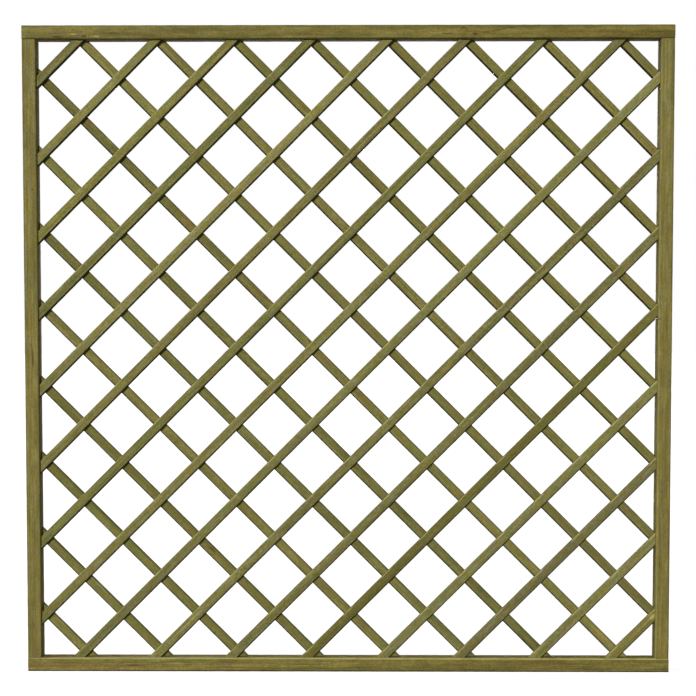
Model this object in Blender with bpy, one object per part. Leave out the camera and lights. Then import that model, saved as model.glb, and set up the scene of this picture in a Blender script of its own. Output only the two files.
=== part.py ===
"""Framed diamond trellis panel in planed and pressure-treated softwood.

Four frame timbers are butted at the corners, the rails over the ends of the stiles, and each
corner is drawn up by two countersunk screws. Two layers of slats lean opposite ways inside the
frame. Each slat is a length of batten sawn off along the frame's inner faces, and the front
layer lies flat against the back one wherever they cross. The lattice follows the frame: a wider
or taller panel has the same number of diamonds, stretched to fill it.

Metres. X runs along the panel's width, Z is up, and the front faces -Y. The origin is under the
middle of the bottom rail, half way through its depth.
"""

from math import atan2, cos, pi, radians, sin, tan

import bmesh
import bpy
from mathutils import Matrix, Vector

# Overall size
panel_width = 1.800
panel_height = 1.800

# Frame timber
frame_face = 0.038
frame_depth = 0.038
frame_arris_radius = 0.003

# Lattice
slat_width = 0.027
slat_thickness = 0.012
slat_arris_radius = 0.0042
diamonds_across = 8
diamonds_up = 8
lattice_margin = 0.0059
lattice_recess = 0.010
lattice_shift_right = 0.007
lattice_shift_up = 0.0085

# Corner screws
screws_per_corner = 2
screw_edge_distance = 0.010
screw_length = 0.080
screw_shank_radius = 0.0025
screw_head_radius = 0.0050
screw_head_rim = 0.0004
screw_tip_length = 0.006
screw_head_sink = 0.0006
screw_socket_radius = 0.0022
screw_socket_depth = 0.0020
socket_lobes = 6
socket_lobe_share = 0.14

# Working values
clearance = 0.0003
overrun = 0.010
weld_distance = 0.000001
arris_segments = 5
round_profile_share = 0.5
turned_segments = 24
sharp_angle = radians(35)

# Places that follow from the sizes
opening_left = frame_face - panel_width / 2
opening_right = panel_width / 2 - frame_face
opening_bottom = frame_face
opening_top = panel_height - frame_face
frame_front = -frame_depth / 2
diamond_width = (opening_right - opening_left - 2 * lattice_margin) / diamonds_across
diamond_height = (opening_top - opening_bottom - 2 * lattice_margin) / diamonds_up
slat_angle = atan2(diamond_height, diamond_width)
slats_per_layer = diamonds_across + diamonds_up
lattice_x = lattice_shift_right
lattice_z = panel_height / 2 + lattice_shift_up
front_layer_y = frame_front + lattice_recess + slat_thickness / 2
back_layer_y = front_layer_y + slat_thickness + clearance
outer_screw_y = frame_depth / 2 - screw_edge_distance


def clear_scene():
    for found in list(bpy.data.objects):
        bpy.data.objects.remove(found, do_unlink=True)


def principled(name, colour, roughness, metallic=0.0):
    """A Principled BSDF material of one colour."""
    material = bpy.data.materials.new(name)
    material.use_nodes = True
    shader = material.node_tree.nodes["Principled BSDF"]
    shader.inputs["Base Color"].default_value = (*colour, 1.0)
    shader.inputs["Roughness"].default_value = roughness
    shader.inputs["Metallic"].default_value = metallic
    return material


def finished_object(name, bm, material, location, turn=0.0, tilt=0.0):
    """Turns a bmesh into an object of the panel, placed by its location and its turn about Y."""
    bmesh.ops.recalc_face_normals(bm, faces=bm.faces)
    mesh = bpy.data.meshes.new(name)
    bm.to_mesh(mesh)
    bm.free()
    return placed_object(name, mesh, material, location, turn, tilt)


def placed_object(name, mesh, material, location, turn=0.0, tilt=0.0):
    mesh.shade_smooth()
    mesh.set_sharp_from_angle(angle=sharp_angle)
    if material and not mesh.materials:
        mesh.materials.append(material)
    made = bpy.data.objects.new(name, mesh)
    made.location = location
    made.rotation_euler = (tilt, turn, 0.0)
    made.parent = panel
    bpy.context.scene.collection.objects.link(made)
    return made


# Planed timber

def planed_timber(length, face, depth, arris_radius):
    """A straight length of timber along X with its four long arrises rounded over by the planer."""
    bm = bmesh.new()
    bmesh.ops.create_cube(bm, size=1.0)
    bmesh.ops.scale(bm, vec=(length, depth, face), verts=bm.verts)
    long_edges = [edge for edge in bm.edges if runs_along_x(edge)]
    bmesh.ops.bevel(
        bm,
        geom=long_edges,
        offset=arris_radius,
        offset_type="OFFSET",
        segments=arris_segments,
        profile=round_profile_share,
        affect="EDGES",
    )
    return bm


def runs_along_x(edge):
    start, end = (corner.co for corner in edge.verts)
    along = end - start
    return abs(along.x) > max(abs(along.y), abs(along.z))


def saw(bm, point, outward):
    """Saws the timber through a point, keeps the side behind the blade and closes the cut."""
    cut = bmesh.ops.bisect_plane(
        bm,
        geom=bm.verts[:] + bm.edges[:] + bm.faces[:],
        dist=weld_distance,
        plane_co=point,
        plane_no=outward,
        clear_outer=True,
    )
    open_edges = [item for item in cut["geom_cut"] if isinstance(item, bmesh.types.BMEdge)]
    if open_edges:
        bmesh.ops.holes_fill(bm, edges=open_edges, sides=0)


# Frame

def make_rail(name, height):
    """A rail runs the panel's full width, over or under the ends of both stiles."""
    bm = planed_timber(panel_width, frame_face, frame_depth, frame_arris_radius)
    return finished_object(name, bm, frame_timber, (0.0, 0.0, height))


def make_stile(name, across):
    """A stile stands between the two rails."""
    stile_length = opening_top - opening_bottom - 2 * clearance
    bm = planed_timber(stile_length, frame_face, frame_depth, frame_arris_radius)
    middle = (opening_top + opening_bottom) / 2
    return finished_object(name, bm, frame_timber, (across, 0.0, middle), turn=pi / 2)


# Lattice

def slat_centre_line(crossing_x, lean):
    """The lower and upper end of the stretch of a slat's centre line that lies inside the frame.

    The slat passes through the lattice's middle height at crossing_x, and leans right for a lean
    of 1 and left for -1.
    """
    slope = lean * tan(slat_angle)
    height_at_left = lattice_z + (opening_left - crossing_x) * slope
    height_at_right = lattice_z + (opening_right - crossing_x) * slope
    low = max(opening_bottom, min(height_at_left, height_at_right))
    high = min(opening_top, max(height_at_left, height_at_right))
    return [Vector((crossing_x + (z - lattice_z) / slope, 0.0, z)) for z in (low, high)]


def make_slat(name, ends, lean, layer_y):
    """A slat: batten cut overlong, laid at its angle and sawn along the frame's inner faces."""
    start, end = ends
    middle = (start + end) / 2
    middle.y = layer_y
    turn = -lean * slat_angle
    overlong = (end - start).length + 2 * slat_width / sin(2 * slat_angle) + overrun
    bm = planed_timber(overlong, slat_width, slat_thickness, slat_arris_radius)
    to_slat = (Matrix.Translation(middle) @ Matrix.Rotation(turn, 4, "Y")).inverted()
    for point, outward in frame_inner_faces():
        saw(bm, to_slat @ point, to_slat.to_3x3() @ outward)
    return finished_object(name, bm, slat_timber, middle, turn=turn)


def frame_inner_faces():
    """A point and the outward direction of each face that the slats' ends butt against."""
    return [
        (Vector((opening_left + clearance, 0.0, 0.0)), Vector((-1.0, 0.0, 0.0))),
        (Vector((opening_right - clearance, 0.0, 0.0)), Vector((1.0, 0.0, 0.0))),
        (Vector((0.0, 0.0, opening_bottom + clearance)), Vector((0.0, 0.0, -1.0))),
        (Vector((0.0, 0.0, opening_top - clearance)), Vector((0.0, 0.0, 1.0))),
    ]


def make_layer(layer_name, lean, layer_y):
    """One layer of parallel slats, a diamond's width apart, either side of the lattice's middle."""
    for count in range(slats_per_layer):
        steps_from_middle = count - (slats_per_layer - 1) / 2
        ends = slat_centre_line(lattice_x + steps_from_middle * diamond_width, lean)
        make_slat(f"{layer_name}_{count + 1:02d}", ends, lean, layer_y)


# Corner screws

def turned(profile):
    """A solid turned about Z from (radius, z) points, the first and last of them on the axis."""
    bm = bmesh.new()
    points = [bm.verts.new((radius, 0.0, z)) for radius, z in profile]
    edges = [bm.edges.new(pair) for pair in zip(points, points[1:])]
    bmesh.ops.spin(
        bm,
        geom=points + edges,
        cent=(0.0, 0.0, 0.0),
        axis=(0.0, 0.0, 1.0),
        angle=2 * pi,
        steps=turned_segments,
        use_merge=True,
    )
    bmesh.ops.remove_doubles(bm, verts=bm.verts, dist=weld_distance)
    bmesh.ops.recalc_face_normals(bm, faces=bm.faces)
    return bm


def screw_mesh():
    """A countersunk wood screw, point down, with the middle of its head's top at the origin."""
    cone_end = -screw_head_rim - (screw_head_radius - screw_shank_radius)
    profile = [
        (0.0, 0.0),
        (screw_head_radius, 0.0),
        (screw_head_radius, -screw_head_rim),
        (screw_shank_radius, cone_end),
        (screw_shank_radius, screw_tip_length - screw_length),
        (0.0, -screw_length),
    ]
    bm = turned(profile)
    sink_socket(bm)
    mesh = bpy.data.meshes.new("corner_screw")
    bm.to_mesh(mesh)
    bm.free()
    return mesh


def sink_socket(bm):
    """Sinks a six-lobed driver socket into the flat top of the screw's head."""
    top = [face for face in bm.faces if face.calc_center_median().z > -weld_distance]
    top = bmesh.ops.dissolve_faces(bm, faces=top)["region"]
    bmesh.ops.inset_region(bm, faces=top, thickness=screw_head_radius - screw_socket_radius)
    for corner in top[0].verts:
        around = Vector((corner.co.x, corner.co.y, 0.0))
        swing = cos(socket_lobes * around.xy.angle_signed(Vector((1.0, 0.0))))
        around.length = screw_socket_radius * (1 + socket_lobe_share * swing)
        corner.co = around
    floor = bmesh.ops.extrude_face_region(bm, geom=top)
    bmesh.ops.delete(bm, geom=top, context="FACES_ONLY")
    moved = [item for item in floor["geom"] if isinstance(item, bmesh.types.BMVert)]
    bmesh.ops.translate(bm, verts=moved, vec=(0.0, 0.0, -screw_socket_depth))
    bmesh.ops.recalc_face_normals(bm, faces=bm.faces)


def seat_mesh():
    """The hole that the screw fills: its own outline with clearance, open above the head."""
    cone_end = -screw_head_rim - (screw_head_radius - screw_shank_radius)
    profile = [
        (0.0, overrun),
        (screw_head_radius + clearance, overrun),
        (screw_head_radius + clearance, -screw_head_rim),
        (screw_shank_radius + clearance, cone_end),
        (screw_shank_radius + clearance, -screw_length - clearance),
        (0.0, -screw_length - clearance),
    ]
    bm = turned(profile)
    mesh = bpy.data.meshes.new("screw_seat")
    bm.to_mesh(mesh)
    bm.free()
    return mesh


def bore(timber, seat):
    cut = timber.modifiers.new(seat.name, "BOOLEAN")
    cut.operation = "DIFFERENCE"
    cut.solver = "EXACT"
    cut.object = seat


def fasten_corner(corner_name, rail, stile, head_height, points_up):
    """Drives screws through the rail into the stile's end, spread evenly through its depth."""
    tilt = pi if points_up else 0.0
    for count in range(screws_per_corner):
        side_share = 2 * count / (screws_per_corner - 1) - 1
        place = (stile.location.x, side_share * outer_screw_y, head_height)
        seat = placed_object(f"{corner_name}_seat_{count + 1}", seats, None, place, tilt=tilt)
        seat.hide_render = True
        seat.display_type = "WIRE"
        bore(rail, seat)
        bore(stile, seat)
        name = f"{corner_name}_screw_{count + 1}"
        placed_object(name, screws, zinc_steel, place, tilt=tilt)


clear_scene()
panel = bpy.data.objects.new("trellis_panel", None)
bpy.context.scene.collection.objects.link(panel)

frame_timber = principled("treated frame timber", (0.205, 0.172, 0.050), 0.80)
slat_timber = principled("treated slat timber", (0.190, 0.178, 0.055), 0.82)
zinc_steel = principled("zinc-plated steel", (0.62, 0.60, 0.52), 0.35, metallic=1.0)

bottom_rail = make_rail("bottom_rail", frame_face / 2)
top_rail = make_rail("top_rail", panel_height - frame_face / 2)
left_stile = make_stile("left_stile", opening_left - frame_face / 2)
right_stile = make_stile("right_stile", opening_right + frame_face / 2)

make_layer("front_slat", 1, front_layer_y)
make_layer("back_slat", -1, back_layer_y)

screws = screw_mesh()
seats = seat_mesh()
top_heads = panel_height - screw_head_sink
fasten_corner("top_left", top_rail, left_stile, top_heads, points_up=False)
fasten_corner("top_right", top_rail, right_stile, top_heads, points_up=False)
fasten_corner("bottom_left", bottom_rail, left_stile, screw_head_sink, points_up=True)
fasten_corner("bottom_right", bottom_rail, right_stile, screw_head_sink, points_up=True)
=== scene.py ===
# %% [markdown]
# # A treated softwood trellis panel
#
# The real object is a flat garden panel: four square timbers make a frame, and two layers of thin
# slats cross inside it at right angles, so that the openings are diamonds. The timber has been
# soaked in a green preservative, which is why the grain looks olive rather than pale yellow.
#
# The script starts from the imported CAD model. It gives the true place and size of every timber,
# so each finer piece made below is built around the same numbers and then stands for its node.

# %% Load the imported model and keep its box
from functools import partial
from math import atan2, ceil, cos, pi, radians, sin
import random

import bmesh
import bpy
import numpy as np
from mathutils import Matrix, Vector


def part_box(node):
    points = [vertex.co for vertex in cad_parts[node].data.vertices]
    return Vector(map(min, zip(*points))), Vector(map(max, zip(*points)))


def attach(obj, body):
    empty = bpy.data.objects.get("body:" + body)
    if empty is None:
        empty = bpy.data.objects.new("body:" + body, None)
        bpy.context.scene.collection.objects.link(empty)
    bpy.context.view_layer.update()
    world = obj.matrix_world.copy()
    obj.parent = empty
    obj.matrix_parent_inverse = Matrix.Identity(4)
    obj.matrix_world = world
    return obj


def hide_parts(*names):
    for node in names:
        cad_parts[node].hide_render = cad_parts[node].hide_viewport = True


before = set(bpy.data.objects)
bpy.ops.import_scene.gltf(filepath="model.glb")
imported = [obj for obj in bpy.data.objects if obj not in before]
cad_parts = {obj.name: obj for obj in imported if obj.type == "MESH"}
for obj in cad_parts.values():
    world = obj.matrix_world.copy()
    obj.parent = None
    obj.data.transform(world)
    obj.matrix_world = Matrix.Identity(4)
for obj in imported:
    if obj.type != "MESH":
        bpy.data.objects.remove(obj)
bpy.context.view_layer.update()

print("nodes in the packed model:", len(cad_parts))

# %% [markdown]
# ## Sizes of the timbers
#
# A maker would read these off the drawing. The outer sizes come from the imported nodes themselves.
# The lattice's own rule is repeated here: eight diamonds each way, with a small margin inside the
# frame, and the whole lattice sits a few millimetres right of and above the frame's middle.

# %% Read the frame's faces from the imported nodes
left_low, left_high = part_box("left_stile")
right_low, right_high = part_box("right_stile")
bottom_low, bottom_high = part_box("bottom_rail")
top_low, top_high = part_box("top_rail")

opening_left = left_high.x
opening_right = right_low.x
opening_bottom = bottom_high.z
opening_top = top_low.z
frame_front = left_low.y
frame_face = bottom_high.z - bottom_low.z
frame_depth = left_high.y - frame_front
print(f"opening {opening_right - opening_left:.3f} x {opening_top - opening_bottom:.3f} m")

# %% Repeat the lattice's rule
clearance = 0.0003
slat_width = 0.027
slat_thickness = 0.012
slat_arris_radius = 0.0042
frame_arris_radius = 0.003
diamonds_across = 8
diamonds_up = 8
lattice_margin = 0.0059
lattice_recess = 0.010
lattice_shift_right = 0.007
lattice_shift_up = 0.0085

diamond_width = (opening_right - opening_left - 2 * lattice_margin) / diamonds_across
diamond_height = (opening_top - opening_bottom - 2 * lattice_margin) / diamonds_up
slat_angle = atan2(diamond_height, diamond_width)
slats_per_layer = diamonds_across + diamonds_up
lattice_x = (opening_left + opening_right) / 2 + lattice_shift_right
lattice_z = (opening_bottom + opening_top) / 2 + lattice_shift_up
front_layer_y = frame_front + lattice_recess + slat_thickness / 2
back_layer_y = front_layer_y + slat_thickness + clearance
lattice_back = back_layer_y + slat_thickness / 2
print(f"diamonds {diamond_width:.4f} x {diamond_height:.4f} m, slats lean {slat_angle:.4f} rad")

# %% [markdown]
# ## Helpers for node trees
#
# Geometry nodes and shader nodes are both trees of boxes joined by wires. Written out in full,
# each box takes many lines, so these helpers add a box, set its options and plug in its inputs.
# A plug may be a plain value, an output of another box, or a whole box, which stands for its
# first output. A box of maths joins the tree that its terms come from.

# %% Add one node with its options and plugs
def plug_in(sockets, plugs):
    for place, value in plugs.items():
        if isinstance(value, bpy.types.Node):
            value = value.outputs[0]
        if isinstance(value, bpy.types.NodeSocket):
            value.id_data.links.new(value, sockets[place])
        else:
            sockets[place].default_value = value


def add_node(tree, kind, plugs=None, **options):
    made = tree.nodes.new(kind)
    for option, value in options.items():
        setattr(made, option, value)
    plug_in(made.inputs, plugs or {})
    return made


def pass_on(shape, kind, plugs=None, **options):
    """The box that a shape goes through next. A shape always comes in by the first input."""
    return add_node(shape.id_data, "GeometryNode" + kind, {0: shape, **(plugs or {})}, **options)


# %% Add maths on numbers and vectors
def tree_of(terms):
    return next(term.id_data for term in terms if hasattr(term, "id_data"))


def maths(operation, *terms, clamp=False):
    tree = tree_of(terms)
    plugs = dict(enumerate(terms))
    return add_node(tree, "ShaderNodeMath", plugs, operation=operation, use_clamp=clamp).outputs[0]


times = partial(maths, "MULTIPLY")
plus = partial(maths, "ADD")
minus = partial(maths, "SUBTRACT")
over = partial(maths, "DIVIDE")
times_plus = partial(maths, "MULTIPLY_ADD")
larger = partial(maths, "MAXIMUM")
smaller = partial(maths, "MINIMUM")
above = partial(maths, "GREATER_THAN")
below = partial(maths, "LESS_THAN")
unsigned = partial(maths, "ABSOLUTE")


def vector_maths(operation, *terms):
    plugs = dict(enumerate(terms))
    return add_node(tree_of(terms), "ShaderNodeVectorMath", plugs, operation=operation).outputs


def vector_of(x, y, z):
    return add_node(tree_of((x, y, z)), "ShaderNodeCombineXYZ", {"X": x, "Y": y, "Z": z}).outputs[0]


def parts_of(vector):
    return add_node(vector.id_data, "ShaderNodeSeparateXYZ", {0: vector}).outputs


def way_length(x, y):
    return vector_maths("LENGTH", vector_of(x, y, 0.0))["Value"]


def noise_at(place, seed, detail, roughness=0.5):
    plugs = {"Vector": place, "W": seed, "Scale": 1.0, "Detail": detail, "Roughness": roughness}
    return add_node(place.id_data, "ShaderNodeTexNoise", plugs, noise_dimensions="4D").outputs[0]


# %% Start a node group with named inputs and outputs, and use it
def new_group(name, family, inputs, outputs):
    """A node group, the sockets that bring its inputs in, and those that take its outputs.

    Each kind of socket comes with its names in one string."""
    tree = bpy.data.node_groups.new(name, family)
    for in_out, kinds in (("INPUT", inputs), ("OUTPUT", outputs)):
        for kind, names in kinds.items():
            for socket_name in names.split(", "):
                tree.interface.new_socket(socket_name, in_out=in_out, socket_type="NodeSocket" + kind)
    given = tree.nodes.new("NodeGroupInput").outputs
    leaving = tree.nodes.new("NodeGroupOutput").inputs
    return tree, given, leaving


def use_group(tree, group, plugs):
    return add_node(tree, tree.bl_idname.replace("Tree", "Group"), plugs, node_tree=group).outputs


def hand_on(given, names):
    """Plugs that pass a group's own inputs on under the same names."""
    return {name: given[name] for name in names.split(", ")}


# %% Run a geometry tree once and keep the result as a plain mesh
def put_in_scene(name, data):
    placed = bpy.data.objects.new(name, data)
    bpy.context.scene.collection.objects.link(placed)
    return placed


def mesh_from_tree(name, tree, sizes):
    """A finished object, with its place in its mesh, made by one run of a geometry tree."""
    carrier = put_in_scene(name + "_maker", bpy.data.meshes.new(name + "_maker"))
    modifier = carrier.modifiers.new("Tree", "NODES")
    modifier.node_group = tree
    for socket in tree.interface.items_tree:
        if socket.in_out == "INPUT":
            modifier[socket.identifier] = sizes[socket.name]
    graph = bpy.context.evaluated_depsgraph_get()
    mesh = bpy.data.meshes.new_from_object(carrier.evaluated_get(graph))
    mesh.name = name
    bpy.data.objects.remove(carrier)
    return put_in_scene(name, mesh)


# %% [markdown]
# ## A planed bar
#
# Every timber here is the same thing at another size: a long bar with its four long edges, the
# arrises, rounded by the planer. A rounded rectangle is swept along a line, which gives a ring of
# points every centimetre. The group also hands on three numbers for each point: how far along
# the bar it is, from 0 to 1, and where it is across and through the bar. The trees that use the
# group bend, wear and place the bar by those numbers alone.

# %% Build the planed bar group
ring_spacing = 0.010
arris_steps = 6
planed_bar, given, leaving = new_group(
    "Planed bar",
    "GeometryNodeTree",
    {"Int": "Rings", "Float": "Width, Thickness, Arris Radius"},
    {"Geometry": "Bar", "Float": "Station, Across, Through"},
)


def keep_value(shape, kind, name, value):
    """Keeps a value of each point that later steps would change."""
    kept = pass_on(shape, "CaptureAttribute")
    kept.capture_items.new(kind, name)
    plug_in(kept.inputs, {name: value})
    return kept


line = add_node(planed_bar, "GeometryNodeCurvePrimitiveLine", {"End": (0.0, 0.0, 1.0)})
rings = pass_on(line, "ResampleCurve", {"Count": given["Rings"]})
station = add_node(planed_bar, "GeometryNodeSplineParameter").outputs["Factor"]
kept_station = keep_value(rings, "FLOAT", "Station", station)

plugs = {"Width": given["Width"], "Height": given["Thickness"]}
outline = add_node(planed_bar, "GeometryNodeCurvePrimitiveQuadrilateral", plugs)
plugs = {"Count": arris_steps, "Radius": given["Arris Radius"]}
rounded = pass_on(outline, "FilletCurve", plugs, mode="POLY")
position = add_node(planed_bar, "GeometryNodeInputPosition")
kept_place = keep_value(rounded, "VECTOR", "Place", position)

swept = pass_on(kept_station, "CurveToMesh", {"Profile Curve": kept_place, "Fill Caps": True})
place = parts_of(kept_place.outputs["Place"])
kept = {"Station": kept_station.outputs["Station"], "Across": place["X"], "Through": place["Y"]}
plug_in(leaving, {"Bar": swept, **kept})
print("planed bar:", len(planed_bar.nodes), "nodes")

# %% [markdown]
# ## Worn arrises
#
# A planed arris is never quite even: it gets knocked, and fibres lift off it. This group moves
# only the points on the rounded edges, a fraction of a millimetre inwards, by a noise that is
# long in the direction of the grain. Each of the four arrises reads its own part of the noise.

# %% Build the worn arris group
worn_arris, given, leaving = new_group(
    "Worn arris",
    "GeometryNodeTree",
    {"Float": "Across, Through, Along, Width, Thickness, Arris Radius, Wear, Seed"},
    {"Float": "Across, Through"},
)
arris_reach = 1.02
knocks_per_metre = 32.0
knocks_start = 0.42
knocks_rise = 5.0
side_step = 9.0
face_step = 5.0


def edge_share(place, size, radius):
    """1 on the rounded edge and 0 on the flat face."""
    return above(unsigned(place), minus(times(size, 0.5), times(radius, arris_reach)))


radius = given["Arris Radius"]
on_side = edge_share(given["Across"], given["Width"], radius)
on_face = edge_share(given["Through"], given["Thickness"], radius)
side = maths("SIGN", given["Across"])
face = maths("SIGN", given["Through"])
along = times(given["Along"], knocks_per_metre)
knocks = noise_at(vector_of(along, times(side, side_step), times(face, face_step)), given["Seed"], 3.0)
depth = times(larger(minus(knocks, knocks_start), 0.0), knocks_rise)
depth = times(times(depth, times(on_side, on_face)), given["Wear"])
for name, sign in (("Across", side), ("Through", face)):
    plug_in(leaving, {name: minus(given[name], times(depth, sign))})
print("worn arris:", len(worn_arris.nodes), "nodes")


# %% Put the two together
def worn_bar(tree, given, length):
    """A planed bar, whose points stand where they were, and their worn places."""
    bar = use_group(tree, planed_bar, hand_on(given, "Rings, Width, Thickness, Arris Radius"))
    plugs = {"Across": bar["Across"], "Through": bar["Through"], "Along": times(bar["Station"], length)}
    plugs |= hand_on(given, "Width, Thickness, Arris Radius, Wear, Seed")
    return bar, use_group(tree, worn_arris, plugs)


# %% [markdown]
# ## What every timber remembers
#
# The wood grain has to run along each timber, whichever way it leans. So each point keeps its
# place in the timber's own terms: along, across and through, in metres, counted from the
# timber's middle. The material reads that instead of the place in the room.

# %% A step that stores the timber's own coordinates and smooths its faces
sharp_turn = radians(40)


def set_finish(shape, material):
    return pass_on(pass_on(shape, "RealizeInstances"), "SetMaterial", {"Material": material})


def finish_bar(bar, new_place, own_place, material):
    """Moves the bar's points, stores their own places, and sets sharp edges round the ends."""
    shape = pass_on(bar, "SetPosition", {"Position": new_place})
    plugs = {"Name": "timber", "Value": own_place}
    shape = pass_on(shape, "StoreNamedAttribute", plugs, data_type="FLOAT_VECTOR", domain="POINT")
    shape = pass_on(shape, "SetShadeSmooth", {"Shade Smooth": True}, domain="FACE")
    turn = add_node(bar.id_data, "GeometryNodeInputMeshEdgeAngle").outputs["Unsigned Angle"]
    plugs = {"Selection": above(turn, sharp_turn), "Shade Smooth": False}
    return set_finish(pass_on(shape, "SetShadeSmooth", plugs, domain="EDGE"), material)


# %% [markdown]
# ## A slat
#
# A slat is a thin bar cut off at both ends by the inner faces of the frame, so its ends are
# mitres. It could be cut with Booleans. Here each line of points along the bar is instead run
# from the exact place where it meets one face of the frame to the place where it meets the
# other, which gives clean mitres at any angle.

# %% Build the slat tree
slat_places = "Crossing X, Middle Z, Layer Y, Lean, Angle, Left, Right, Bottom, Top"
slat_tree, given, leaving = new_group(
    "Slat between frame faces",
    "GeometryNodeTree",
    {
        "Float": slat_places + ", Width, Thickness, Arris Radius, Bow, Wear, Seed",
        "Int": "Rings",
        "Material": "Material",
    },
    {"Geometry": "Geometry"},
)
bar, worn = worn_bar(slat_tree, given, times(given["Rings"], ring_spacing))
# The slat's direction, always upwards, and the direction across it in the panel's plane.
along_x = times(given["Lean"], maths("COSINE", given["Angle"]))
along_z = maths("SINE", given["Angle"])
across_x = times(along_z, -1.0)
across_z = along_x

bends_per_slat = 1.6
bend = noise_at(vector_of(times(bar["Station"], bends_per_slat), 0.0, 0.0), given["Seed"], 0.0)
bent_across = plus(worn["Across"], times(minus(bend, 0.5), given["Bow"]))
base_x = times_plus(bent_across, across_x, given["Crossing X"])
base_z = times_plus(bent_across, across_z, given["Middle Z"])
# How far along the slat a line of points meets each face of the frame.
to_left, to_right = (over(minus(given[face], base_x), along_x) for face in ("Left", "Right"))
to_bottom, to_top = (over(minus(given[face], base_z), along_z) for face in ("Bottom", "Top"))
start = larger(smaller(to_left, to_right), to_bottom)
end = smaller(larger(to_left, to_right), to_top)
along = times_plus(bar["Station"], minus(end, start), start)
slat_place = vector_of(
    times_plus(along, along_x, base_x),
    plus(worn["Through"], given["Layer Y"]),
    times_plus(along, along_z, base_z),
)
own_place = vector_of(along, worn["Across"], worn["Through"])
# Along, across and through are left-handed here, which would turn the skin inside out.
outward = pass_on(bar["Bar"], "FlipFaces")
plug_in(leaving, {"Geometry": finish_bar(outward, slat_place, own_place, given["Material"])})
print("slat tree:", len(slat_tree.nodes), "nodes")

# %% [markdown]
# ## A frame timber
#
# The rails and stiles are thicker bars, sawn square and eased a little round each end. They are
# drilled for the corner screws, so the tree subtracts a seat from the bar at each screw before
# the points get their timber coordinates.

# %% Build the frame timber tree
frame_tree, given, leaving = new_group(
    "Frame timber",
    "GeometryNodeTree",
    {
        "Vector": "Middle",
        "Float": "Turn, Length, Width, Thickness, Arris Radius, End Ease, Wear, Seed",
        "Int": "Rings",
        "Object": "Seats",
        "Material": "Material",
    },
    {"Geometry": "Geometry"},
)
bar, worn = worn_bar(frame_tree, given, given["Length"])
# The ring number runs from 0 to the last. The first and last rings close the eased ends.
last_ring = minus(given["Rings"], 1.0)
ring = times(bar["Station"], last_ring)
inner_share = over(minus(ring, 1.0), minus(last_ring, 2.0), clamp=True)
eased_half = minus(times(given["Length"], 0.5), given["End Ease"])
at_start = below(ring, 0.5)
at_end = above(ring, minus(last_ring, 0.5))
along = times(times_plus(inner_share, 2.0, -1.0), eased_half)
along = times_plus(minus(at_end, at_start), given["End Ease"], along)
at_an_end = plus(at_start, at_end)


def eased(place, size):
    """Draws the last ring in at both ends."""
    shrink = over(given["End Ease"], times(given[size], 0.5))
    return times(worn[place], minus(1.0, times(shrink, at_an_end)))


flat_place = vector_of(along, eased("Through", "Thickness"), eased("Across", "Width"))
laid = pass_on(bar["Bar"], "SetPosition", {"Position": flat_place})
turn = vector_of(0.0, given["Turn"], 0.0)
turned = pass_on(laid, "Transform", {"Translation": given["Middle"], "Rotation": turn})
plugs = {"Object": given["Seats"]}
seats = add_node(frame_tree, "GeometryNodeObjectInfo", plugs, transform_space="ORIGINAL")
plugs = {"Mesh 2": seats.outputs["Geometry"]}
drilled = pass_on(turned, "MeshBoolean", plugs, operation="DIFFERENCE", solver="EXACT")
# The timber's own coordinates follow from the place, turned back to lie along X.
position = add_node(frame_tree, "GeometryNodeInputPosition").outputs[0]
from_middle = vector_maths("SUBTRACT", position, given["Middle"])[0]
plugs = {"Vector": from_middle, "Angle": times(given["Turn"], -1.0)}
turned_back = add_node(frame_tree, "ShaderNodeVectorRotate", plugs, rotation_type="Y_AXIS")
parts = parts_of(turned_back.outputs[0])
own_place = vector_of(parts["X"], parts["Z"], parts["Y"])
plug_in(leaving, {"Geometry": finish_bar(drilled, position, own_place, given["Material"])})
print("frame timber tree:", len(frame_tree.nodes), "nodes")

# %% [markdown]
# ## Colours of treated softwood
#
# Colours are written as a photograph's 0 to 255 values and turned into the linear values that
# the renderer works in. The preservative goes on olive, and the wood under it decides whether a
# patch ends up greener, browner or paler. The thin slats took up more green than the frame.

# %% Name the colours
def linear(red, green, blue):
    def channel(value):
        share = value / 255
        return share / 12.92 if share <= 0.04045 else ((share + 0.055) / 1.055) ** 2.4

    return (channel(red), channel(green), channel(blue), 1.0)


slat_brown = linear(120, 109, 54)
slat_green = linear(107, 109, 52)
frame_brown = linear(121, 106, 48)
frame_green = linear(112, 106, 50)
dusty_grey = linear(121, 118, 89)
fox_brown = linear(126, 95, 50)
straw = linear(166, 158, 100)
fleck_yellow = linear(160, 156, 84)
late_wood_brown = linear(82, 72, 30)
knot_brown = linear(62, 52, 26)
# A dark brown for the painted shade on the narrow sides.
side_shade_brown = linear(34, 32, 8)
print("slat green as linear light:", [round(channel, 3) for channel in slat_green[:3]])

# %% [markdown]
# ## The figure of the wood
#
# A tree grows in rings round its pith, pale early wood and then a thin dark line of late wood.
# A plank is a slice through those rings, so the lines on its faces and the arcs on its ends come
# from one solid pattern. The group measures each point's distance from a pith that lies outside
# the timber, lets the pith wander slowly along the length, and bends the rings round each knot.
# It could be drawn as stripes, but then the ends would not agree with the faces. Streaks and a
# fine mottle are noises pulled out along the grain.

# %% Build the wood figure group
wood_figure, given, leaving = new_group(
    "Wood figure",
    "ShaderNodeTree",
    {"Vector": "Timber, Knot, Lot", "Float": "Ring Width, Wander"},
    {"Float": "Late Wood, Fibres, Streaks, Blotches, Mottle, Knot Core, Knot Halo"},
)
lot_spread = 90.0
knot_length_share = 0.30
pith_sideways = 0.10
pith_nearest = 0.018
pith_spread = 0.060
ring_shake = 0.0016
ring_swell = 0.006


def stretched_noise(place, lot, along_scale, cross_scale, detail=2.0, roughness=0.5):
    """A noise that is long in the direction of the grain, different on each timber."""
    scales = (along_scale, cross_scale, cross_scale)
    return noise_at(vector_maths("MULTIPLY", place, scales)[0], lot, detail, roughness)


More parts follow.
